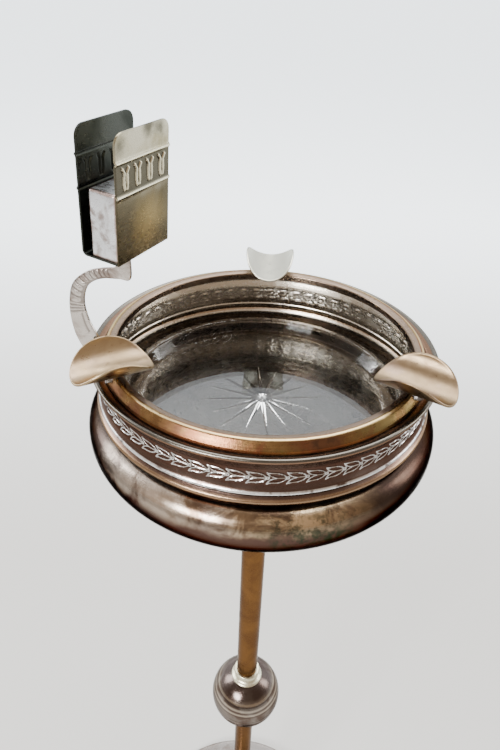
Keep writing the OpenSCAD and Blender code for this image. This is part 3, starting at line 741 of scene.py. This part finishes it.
def gallery():
    """The outline turned, with the chain pressed out of it: every point within the chain's
    height is moved out by 0.6 mm times the chain's height there, inside as well as outside."""
    outer = gallery_outline()
    inner = outer + 0.9 * left_of(outer)
    near = np.abs(inner[:, 1] - CHAIN_Z) < 4.9
    keep = ~near | (np.cumsum(near) % 2 == 0)
    keep[[0, -1]] = True
    bead = (inner[:, 1] > SHELF_Z + 1) & (inner[:, 1] < SHELF_Z + 9.4)
    keep &= ~bead | (np.cumsum(bead) % 2 == 0)
    outline = np.vstack([outer, inner[keep][::-1]])
    columns = CHAIN_COUNT * CHAIN_COLUMNS
    x = np.arange(CHAIN_COLUMNS)[None, :] * CHAIN_PITCH / CHAIN_COLUMNS
    y = outline[:, 1:] - CHAIN_Z
    unit = np.where(np.abs(y) < 4.9, chain_height(x, y), 0)
    on_neck = np.abs(outline[:, 0] - 84.5) < 3
    unit = unit * on_neck[:, None]
    height = np.tile(unit, (1, CHAIN_COUNT))
    angle = np.linspace(0, 2 * math.pi, columns, endpoint=False)[None, :]
    worn = 0.85 + 0.15 * np.sin(7 * angle + 1) * np.sin(3 * angle)
    radius = outline[:, :1] + height * 0.6 * worn + ripple(angle, 0, 0.05, 9)
    rows = np.stack([radius * np.cos(angle), radius * np.sin(angle),
                     outline[:, 1:] + 0 * angle], -1)
    inner_face = (np.arange(len(outline)) >= len(outer))[:, None]
    return skin(rows), (height * worn - 2 * inner_face).ravel()


shape, chain = gallery()
piece("gallery_band_pressed", shape, neck_metal, ["gallery_band"], sharp=50,
      values=chain)


# ---------------------------------------------------------------- rim

rim = path([(83.8, RIM_Z - 5.6), (83.8, RIM_Z - 4.9)], arc((82.9, RIM_Z - 4.4), 0.85, -20, 40, 4),
           smooth([(83.5, RIM_Z - 3.9), (82.9, RIM_Z - 2.9), (82.1, RIM_Z - 1.7),
                   (81.49, RIM_Z - 0.75)], 5),
           arc((80.1, RIM_Z - 1.7), 1.7, 35, 90, 8), [(79, RIM_Z - 0.08), (77.6, RIM_Z - 0.35)],
           arc((77.4, RIM_Z - 1.5), 1.1, 95, 180, 10), [(76.3, RIM_Z - 3), (76.3, RIM_Z - 4.2)])
piece("rim_ring_spun", turned(sheet(rim, 0.9), 512, 0.07, 10), rim_metal,
      ["rim_ring"])


# ---------------------------------------------------------------- glass dish

def star_cut(rows):
    """Raises the underside into sixteen V-shaped cuts that run out from the middle. Each
    is deepest near the middle and thins to nothing at its end; its depth falls evenly with
    the distance from its centre line."""
    x, y, z = rows[..., 0], rows[..., 1], rows[..., 2]
    radius, angle = np.hypot(x, y), np.arctan2(y, x)
    step = 2 * math.pi / 16
    which = np.round(angle / step - 0.3)
    away = np.abs(angle - (which + 0.3) * step) * radius
    end = 33 - 4 * (which.astype(int) % 2)
    width = 1.15 * np.clip((radius - 1.0) / 3, 0, 1) * np.clip((end - radius) / 26, 0, 1) ** 0.6
    depth = np.clip(width - away, 0, None) * 0.95
    rows[..., 2] = z + np.where(z < SEAT_Z + 0.2, depth, 0)
    return rows


def dish():
    """The glass: a flat floor with the star cut underneath, a sloping side, a round rim."""
    foot = SEAT_Z + 0.12
    under = along(np.array([(0.4, foot), (36, foot)]), 0.6)
    outline = path(under, [(50, foot), (GLASS_R - 7.4, foot)],
                   arc((GLASS_R - 7.4, foot + 1.0), 1.0, -85, -35, 6),
                   [(GLASS_R - 0.3, SEAT_Z + 8.9), (GLASS_R, SEAT_Z + 9.4)],
                   arc((GLASS_R - 0.7, SEAT_Z + 9.8), 0.7, 0, 90, 7),
                   arc((GLASS_R - 2.3, SEAT_Z + 9.8), 0.7, 90, 165, 7),
                   smooth([(GLASS_R - 3.1, SEAT_Z + 9.2), (GLASS_R - 5.4, SEAT_Z + 5.4),
                           (GLASS_R - 6.6, SEAT_Z + 4.2), (GLASS_R - 9, SEAT_Z + 4)], 8),
                   [(40, SEAT_Z + 4), (10, SEAT_Z + 4), (0.4, SEAT_Z + 4)])
    angle = np.linspace(0, 2 * math.pi, 16 * 44, endpoint=False)[None, :]
    rows = np.stack([outline[:, :1] * np.cos(angle), outline[:, :1] * np.sin(angle),
                     outline[:, 1:] + 0 * angle], -1)
    return skin(star_cut(rows), "fan")


piece("glass_dish_pressed", dish(), glass, ["glass_dish"], "glass", sharp=24)


# ---------------------------------------------------------------- cigar rests

REST_R, BEND_R, REST_T, REST_OUT, REST_LIFT = 19.5, 13.8, 1.2, 80.8, 2.2


def bent(flat):
    """A flat blank of (along, across, above) wrapped upward round a level cylinder: a
    point's distance across becomes the angle it is turned through."""
    mid = BEND_R + REST_T / 2
    turn = flat[..., 1] / mid
    radius = mid - flat[..., 2]
    return np.stack([flat[..., 0], radius * np.sin(turn),
                     RIM_Z + REST_LIFT + BEND_R - radius * np.cos(turn)], -1)


def rest(seed):
    """A round disc with a rounded edge and a faint raised border, bent into a trough."""
    edge = path(along(np.array([(0.3, 0.5), (17.6, 0.5)]), 1.0),
                [(18.2, 0.56), (18.8, 0.6)], arc((REST_R - 0.6, 0), 0.6, 80, -80, 10),
                along(np.array([(18.6, -0.6), (0.3, -0.6)]), 1.2))
    angle = np.linspace(0, 2 * math.pi, 144, endpoint=False)[None, :]
    radius, above = edge[:, :1], edge[:, 1:]
    radius = radius * (1 + ripple(angle, 0, 0.012, seed))
    flat = np.stack([radius * np.cos(angle), radius * np.sin(angle), above + 0 * angle], -1)
    points, quads, tris = skin(flat, "fan")
    return bent(points), quads, tris


def solder_foot(seed):
    """A lump of solder: rings that widen from the trough down to the crest, pushed about
    by random waves."""
    t = np.linspace(0, 1, 30)[:, None]
    angle = np.linspace(0, 2 * math.pi, 64, endpoint=False)[None, :]
    long = 4.6 - 1.5 * np.sin(t * math.pi) + 0.3 * t
    wide = 3.7 - 1.3 * np.sin(t * math.pi)
    up = RIM_Z - 2.4 + t * 3.9
    rows = np.stack([long * np.cos(angle), wide * np.sin(angle), up + 0 * angle], -1)
    points, quads, tris = skin(rows, "fan")
    return lumps(points, 0.7, 4.0, seed), quads, tris


for number, (side, bearing) in enumerate(REST_BEARINGS.items()):
    turn = bearing_matrix(bearing)
    points, quads, tris = rest(20 + number)
    piece(f"rest_{side}_bent", ((points + [REST_OUT, 0, 0]) @ turn, quads, tris), rest_metal,
          [f"rest_{side}"])
    points, quads, tris = solder_foot(30 + number)
    piece(f"rest_foot_{side}_lump", ((points + [REST_OUT, 0, 0]) @ turn, quads, tris),
          solder_metal, [f"rest_foot_{side}"], sharp=70)


# ---------------------------------------------------------------- bracket

def arm():
    """The cast hook: outer and inner edge curves, and between them a section with rounded
    edges. Ten crescent beads that grow down the curve and three cross lines stand on both
    faces, and a long groove follows the inner edge below them."""
    outer = smooth([(2, -22), (-6, -16.5), (-11.5, -9), (-13.9, 0), (-14.1, 11), (-11.6, 21.8),
                    (-7.2, 28.2), (0.3, 33.6), (7.5, 36.3), (15.4, 38.6), (17.5, 42),
                    (17.8, 48.4)], 22)
    inner = smooth([(2, -6), (0, -1.5), (-1.8, 2), (-3.4, 6), (-4.6, 12.5), (-4.1, 18.5),
                    (-1.5, 24.6), (3.4, 28.8), (9.5, 31.3), (17.5, 32.6), (23.9, 34.2),
                    (24.3, 48.4)], 22)
    middle, half = (outer + inner) / 2, (outer - inner) / 2
    run = np.r_[0, np.cumsum(np.linalg.norm(np.diff(middle, axis=0), axis=1))][:, None]
    phi = np.linspace(0, 2 * math.pi, 72, endpoint=False)[None, :]
    u = np.sign(np.cos(phi)) * np.abs(np.cos(phi)) ** 0.55
    v = np.sign(np.sin(phi)) * np.abs(np.sin(phi)) ** 0.4
    width = np.linalg.norm(half, axis=1)[:, None]
    across = u * width
    pitches = np.linspace(3.9, 2.4, 10)
    centres = np.cumsum(np.r_[0, pitches[:-1]]) + run[-1] * 0.40
    beads = 0 * (run * phi)
    for at, pitch in zip(centres, pitches):
        bow = (run - at - 0.10 * (across - 0.6) ** 2) / (pitch * 0.36)
        beads = np.maximum(beads, np.exp(-bow ** 4) * np.exp(-((u - 0.12) / 0.72) ** 6))
    lines = sum(np.exp(-((run - centres[0] + 3.2 + 1.7 * k) / 0.42) ** 2) for k in range(3))
    groove = np.exp(-((u + 0.5) / 0.13) ** 2) * (run < centres[0] - 8) * (run > 12)
    face = np.abs(np.sin(phi)) > 0.25
    band = (run > centres[0] - 2) * (run < centres[-1] + 1.5)
    thick = 0.9 + 0.38 * beads * face - 0.3 * lines * face * (np.abs(u) < 0.8) - 0.3 * groove * face
    shade = np.where(face & (band > 0), beads * 1.2 - 1, -lines - groove)
    flat = middle[:, None, :] + half[:, None, :] * u[..., None]
    a = math.radians(ARM_HEADING)
    rows = np.stack([arm_root[0] + flat[..., 0] * math.cos(a) + v * thick * math.sin(a),
                     arm_root[1] + flat[..., 0] * math.sin(a) - v * thick * math.cos(a),
                     RIM_Z + flat[..., 1]], -1)
    return skin(rows, "fan"), np.r_[shade.ravel(), 0, 0]


def rounded_block(half_x, half_y, z0, z1, corner, rows=10):
    """A block with rounded upright edges: loops of a rounded rectangle stacked up, the
    first and last drawn in to round the top and bottom edges."""
    a = np.linspace(0, 2 * math.pi, 64, endpoint=False)
    cx, cy = np.sign(np.cos(a)) * (half_x - corner), np.sign(np.sin(a)) * (half_y - corner)
    up = np.linspace(z0, z1, rows)
    inset = np.clip(corner - np.minimum(up - z0, z1 - up), 0, corner) * 0.6
    loops = [np.stack([cx + (corner - i) * np.cos(a), cy + (corner - i) * np.sin(a),
                       np.full(len(a), z)], 1) for i, z in zip(inset, up)]
    return np.array(loops)


def strap():
    """The bracket's foot: a strap bent round the gallery, thicker at its middle, closed
    against the gallery's neck."""
    low, high, half, edge = -22.4, -8.2, 5.2, 1.2
    up = np.linspace(low, high, 24)[:, None]
    angle = np.radians(np.linspace(-half, half, 30))[None, :]
    border = np.clip(np.minimum(up - low, high - up) / edge, 0, 1)
    ends = np.clip((math.radians(half) - np.abs(angle)) * ARM_R / edge, 0, 1)
    outer = 87.4 + 1.5 * np.sqrt(border * ends)
    inner = 85.4 + 0 * outer
    turn = angle + math.radians(ARM_BEARING) + 0 * up
    front = np.stack([outer * np.cos(turn), outer * np.sin(turn), RIM_Z + up + 0 * turn], -1)
    back = np.stack([inner * np.cos(turn), inner * np.sin(turn), RIM_Z + up + 0 * turn], -1)
    return skin(np.concatenate([front, back[:, ::-1]], 1), "strip")


pad = skin(in_holder(rounded_block(4, 3.5, -2.2, -0.02, 0.8) + [-1, 0, 0]), "fan")
hook, shade = arm()
shape = joined(hook, strap(), pad)
piece("match_arm_cast", shape, arm_metal, ["match_arm"], sharp=60,
      values=np.r_[shade, np.zeros(len(shape[0]) - len(shade))])


# ---------------------------------------------------------------- matchbox holder

LEAF_H, LEAF_HALF_W, LEAF_CORNER = 55.5, 19.0, 5.0
LOW_RIDGE, HIGH_RIDGE, TULIP_PITCH = 30.0, 44.0, 8.4
TULIP_RISE = 0.65


def leaf_half_width(z):
    """Half the leaf's width at height z: even, with round corners at the top."""
    into = z - LEAF_H + LEAF_CORNER
    round_top = LEAF_HALF_W - LEAF_CORNER + np.sqrt(np.clip(LEAF_CORNER ** 2 - into ** 2, 0, None))
    return np.where(into > 0, round_top, LEAF_HALF_W)


def leaf_relief(y, z):
    """Height of the pressed work on a leaf: two ridges, and between them four tulips, each
    of two petals that part at the top."""
    ridges = 0.7 * sum(np.exp(-((z - at) / 0.62) ** 2) for at in (LOW_RIDGE, HIGH_RIDGE))
    petal = [(0.7, 32.8), (1.15, 35.2), (1.1, 38.0), (0.85, 39.4), (2.0, 41.3)]
    tulips = 0 * (y * z)
    for at in TULIP_PITCH * np.array([-1.5, -0.5, 0.5, 1.5]):
        d = near_lines(y - at, z, [petal, [(-a, b) for a, b in petal]])
        split = np.clip(np.abs(y - at) / 0.4, 0, 1) ** 2
        tulips = np.maximum(tulips, np.exp(-(d / 0.66) ** 4) * split)
    return np.maximum(ridges, TULIP_RISE * tulips)


def leaf_shade(z, relief):
    """What the relief attribute holds: the relief's height, and below zero in the band
    between the ridges."""
    band = (z > LOW_RIDGE + 0.4) & (z < HIGH_RIDGE - 0.4) & (relief < 0.12)
    return np.where(band, -1.0, relief / TULIP_RISE)


def leaf_heights():
    """Heights of a leaf's rows: close together where the work is pressed and round the top
    corners."""
    low = np.linspace(0, LOW_RIDGE - 1, 26)
    band = np.linspace(LOW_RIDGE - 0.8, HIGH_RIDGE + 1, 76)
    plain = np.linspace(HIGH_RIDGE + 1.5, LEAF_H - LEAF_CORNER, 9)
    corner = LEAF_H - LEAF_CORNER + LEAF_CORNER * np.sin(np.radians(np.linspace(6, 90, 15)))
    return np.r_[low, band, plain, corner]


def front_leaf():
    """The flat leaf with its pressed work, faintly dented, its edges thinned."""
    z = leaf_heights()[:, None]
    y = np.linspace(-1, 1, 150)[None, :] * leaf_half_width(z)
    relief = leaf_relief(y, z + 0 * y)
    dent = 0.18 * np.sin(y * 0.19 + 1) * np.sin(z * 0.11)
    edge = np.clip((leaf_half_width(z) - np.abs(y)) / 0.5, 0, 1)
    outer = 9.9 - 0.3 * (1 - edge) + relief * 1.05 + dent * edge * 0.3
    inner = 9.05 + 0.25 * (1 - edge) + relief * 0.9
    front = np.stack([outer, y, z + 0 * y], -1)
    back = np.stack([inner, y, z + 0 * y], -1)
    rows = np.concatenate([front, back[:, ::-1]], 1)
    shade = leaf_shade(z + 0 * y, relief)
    points, quads, tris = skin(rows, "strip")
    return (in_holder(points), quads, tris), np.concatenate([shade, 0 * shade], 1).ravel()


def back_leaf():
    """The same blank with the floor bent from its foot: rows run down the leaf, round the
    bend and along the floor to the front leaf."""
    z = leaf_heights()[::-1]
    bend = arc((-7.5, 2.5), 2.5, 180, 270, 8)
    floor = np.stack([np.linspace(-7, 8.9, 12), np.zeros(12)], 1)
    run = path(np.stack([np.full(len(z), -10.0), z], 1)[z > 2.6], bend, floor)
    way = left_of(run)
    at = run[:, 1:]
    y = np.linspace(-1, 1, 150)[None, :] * leaf_half_width(at)
    relief = np.where(at > 3, leaf_relief(y, at + 0 * y), 0)
    centre, normal = run[:, None, :], way[:, None, :]
    outer = centre + normal * (0.05 - relief[..., None] * 0.95)
    inner = centre + normal * (0.95 - relief[..., None] * 0.85)
    front = np.stack([outer[..., 0], y, outer[..., 1]], -1)
    back = np.stack([inner[..., 0], y, inner[..., 1]], -1)
    points, quads, tris = skin(np.concatenate([front, back[:, ::-1]], 1), "strip")
    return in_holder(points), quads, tris


def step_box():
    """The hollow step: loops of a rounded rectangle up its sides, in across its top and
    back down inside, dented by random waves. With it goes its nearness to a folded edge."""
    half_x, half_y, middle, top = 7.2, 18.3, 1.75, 31.0
    loops = []
    inset = np.r_[np.zeros(24), 0.9 * (1 - np.cos(np.radians(np.linspace(15, 90, 6))))]
    up = np.r_[np.linspace(1, 29.8, 24), 29.9 + 1.0 * np.sin(np.radians(np.linspace(15, 90, 6)))]
    a = np.linspace(0, 2 * math.pi, 132, endpoint=False)
    cx, cy = np.sign(np.cos(a)), np.sign(np.sin(a))

    def loop(half_x, half_y, corner, z):
        x = cx * (half_x - corner) + corner * np.cos(a)
        y = cy * (half_y - corner) + corner * np.sin(a)
        return np.stack([x + middle, y, np.full(len(a), z)], 1)

    for i, z in zip(inset, up):
        loops.append(loop(half_x - i, half_y - i, 1.6 - i, z))
    for k in (0.9, 0.6, 0.3, 0.05):
        loops.append(loop(6.3 * k, 17.4 * k, 0.7 * k, 30.9))
    for k in (0.05, 0.5, 1):
        loops.append(loop(6.1 * k, 17.2 * k, 0.6 * k, 29.9))
    for z in np.linspace(29, 1, 10):
        loops.append(loop(6.2, 17.3, 0.8, z))
    rows = np.array(loops)
    off_x, off_y = half_x - np.abs(rows[..., 0] - middle), half_y - np.abs(rows[..., 1])
    rim = np.exp(-((rows[..., 2] - top) / 1.5) ** 2) * (np.minimum(off_x, off_y) < 1.5)
    corner = np.exp(-(np.maximum(off_x, off_y) / 1.6) ** 2)
    foot = np.exp(-((rows[..., 2] - 1) / 1.8) ** 2)
    edge = np.maximum(np.maximum(corner, rim), foot)
    points, quads, tris = skin(rows, "loop")
    return (in_holder(lumps(points, 0.28, 16, 41)), quads, tris), edge.ravel()


shape, shade = front_leaf()
piece("holder_front_pressed", shape, leaf_metal, ["holder_front"], sharp=50,
      values=shade)
piece("holder_back_pressed", back_leaf(), shaded_back_leaf_metal, ["holder_back"],
      sharp=50)
shape, shade = step_box()
piece("match_step_folded", shape, step_metal, ["match_step"], sharp=60,
      values=shade)


# ---------------------------------------------------------------- CAD pieces that stay

for node, material in {"felt_pad": felt, "base_plate": iron, "base_weight": iron,
                       "base_washer": steel, "base_nut": steel, "tie_rod": steel,
                       "knop_spacer": steel, "bowl_washer": steel, "bowl_nut": steel,
                       "arm_rivets": steel, "holder_stud": steel, "holder_nut": steel}.items():
    NODES[node].data.materials.clear()
    NODES[node].data.materials.append(material)


# ---------------------------------------------------------------- floor, light, camera

def stage_floor():
    """A pale floor, warmer close by and glowing softly behind the part."""
    mesh = bpy.data.meshes.new("floor")
    mesh.from_pydata([(-60, -60, 0), (60, -60, 0), (60, 60, 0), (-60, 60, 0)], [], [(0, 1, 2, 3)])
    made = bpy.data.objects.new("floor", mesh)
    bpy.context.scene.collection.objects.link(made)
    look = Look("floor_paint")
    y = look.split(look.place())[1]
    far = look.rise(y, 0.3, 2.2)
    look.set(Base_Color=look.mix(far, (0.52, 0.51, 0.485), (0.88, 0.91, 0.93)), Roughness=0.9,
             Emission_Color=look.mix(far, (0, 0, 0), (0.80, 0.88, 0.93)), Emission_Strength=2.0)
    mesh.materials.append(look.material)


def lamp(name, place, aim, size, watts, colour=(1, 1, 1)):
    """A soft rectangular lamp at a place, turned to aim at a point."""
    data = bpy.data.lights.new(name, "AREA")
    data.shape, data.size, data.size_y = "RECTANGLE", size[0], size[1]
    data.energy, data.color = watts, colour
    made = bpy.data.objects.new(name, data)
    made.location = place
    made.rotation_mode = "QUATERNION"
    made.rotation_quaternion = (Vector(aim) - Vector(place)).to_track_quat("-Z", "Y")
    bpy.context.scene.collection.objects.link(made)


def sky():
    """Soft light from every side: bright behind the part, dim and warm behind the camera."""
    world = bpy.data.worlds.new("studio")
    bpy.context.scene.world = world
    world.use_nodes = True
    tree = world.node_tree
    coords = tree.nodes.new("ShaderNodeTexCoord")
    parts = tree.nodes.new("ShaderNodeSeparateXYZ")
    share = tree.nodes.new("ShaderNodeMapRange")
    share.interpolation_type = "SMOOTHSTEP"
    share.inputs["From Min"].default_value = -0.45
    share.inputs["From Max"].default_value = 0.55
    tint = tree.nodes.new("ShaderNodeMix")
    tint.data_type = "RGBA"
    tint.inputs[6].default_value = (0.62, 0.50, 0.40, 1)
    tint.inputs[7].default_value = (1.95, 2.05, 2.15, 1)
    tree.links.new(coords.outputs["Generated"], parts.inputs[0])
    tree.links.new(parts.outputs[1], share.inputs["Value"])
    tree.links.new(share.outputs[0], tint.inputs[0])
    tree.links.new(tint.outputs[2], tree.nodes["Background"].inputs["Color"])


def camera():
    """Above the bowl and looking down on it at about 35 degrees, turned and rolled a
    little, with a slightly wide lens."""
    pitch, yaw, roll = math.radians(34.91), math.radians(-1.50), math.radians(2.35)
    ahead = Vector((math.sin(yaw) * math.cos(pitch), math.cos(yaw) * math.cos(pitch),
                    -math.sin(pitch)))
    right = Vector((math.cos(yaw), -math.sin(yaw), 0))
    up = right.cross(ahead)
    c, s = math.cos(roll), math.sin(roll)
    right, up = c * right + s * up, c * up - s * right
    data = bpy.data.cameras.new("camera")
    data.lens, data.sensor_width, data.sensor_fit = 29.76, 36, "AUTO"
    made = bpy.data.objects.new("camera", data)
    bpy.context.scene.collection.objects.link(made)
    turn = Matrix((right, up, -ahead)).transposed().to_4x4()
    made.matrix_world = Matrix.Translation((0, -0.27424, RIM_Z / 1000 + 0.1672)) @ turn
    bpy.context.scene.camera = made


stage_floor()
lamp("window", (-0.95, -1.55, 1.5), (0, 0, 0.64), (0.7, 0.6), 62, (0.97, 0.99, 1.0))
lamp("side_window", (-1.9, 0.5, 1.5), (0, 0, 0.6), (0.8, 1.2), 34, (0.97, 0.99, 1.0))
lamp("far_window", (1.8, 0.3, 1.3), (0, 0, 0.5), (0.6, 1.0), 18, (1.0, 0.98, 0.95))
lamp("ceiling", (0.3, 0.8, 3.0), (0, 0, 0), (2.4, 2.4), 110, (1.0, 1.0, 1.0))
sky()
camera()
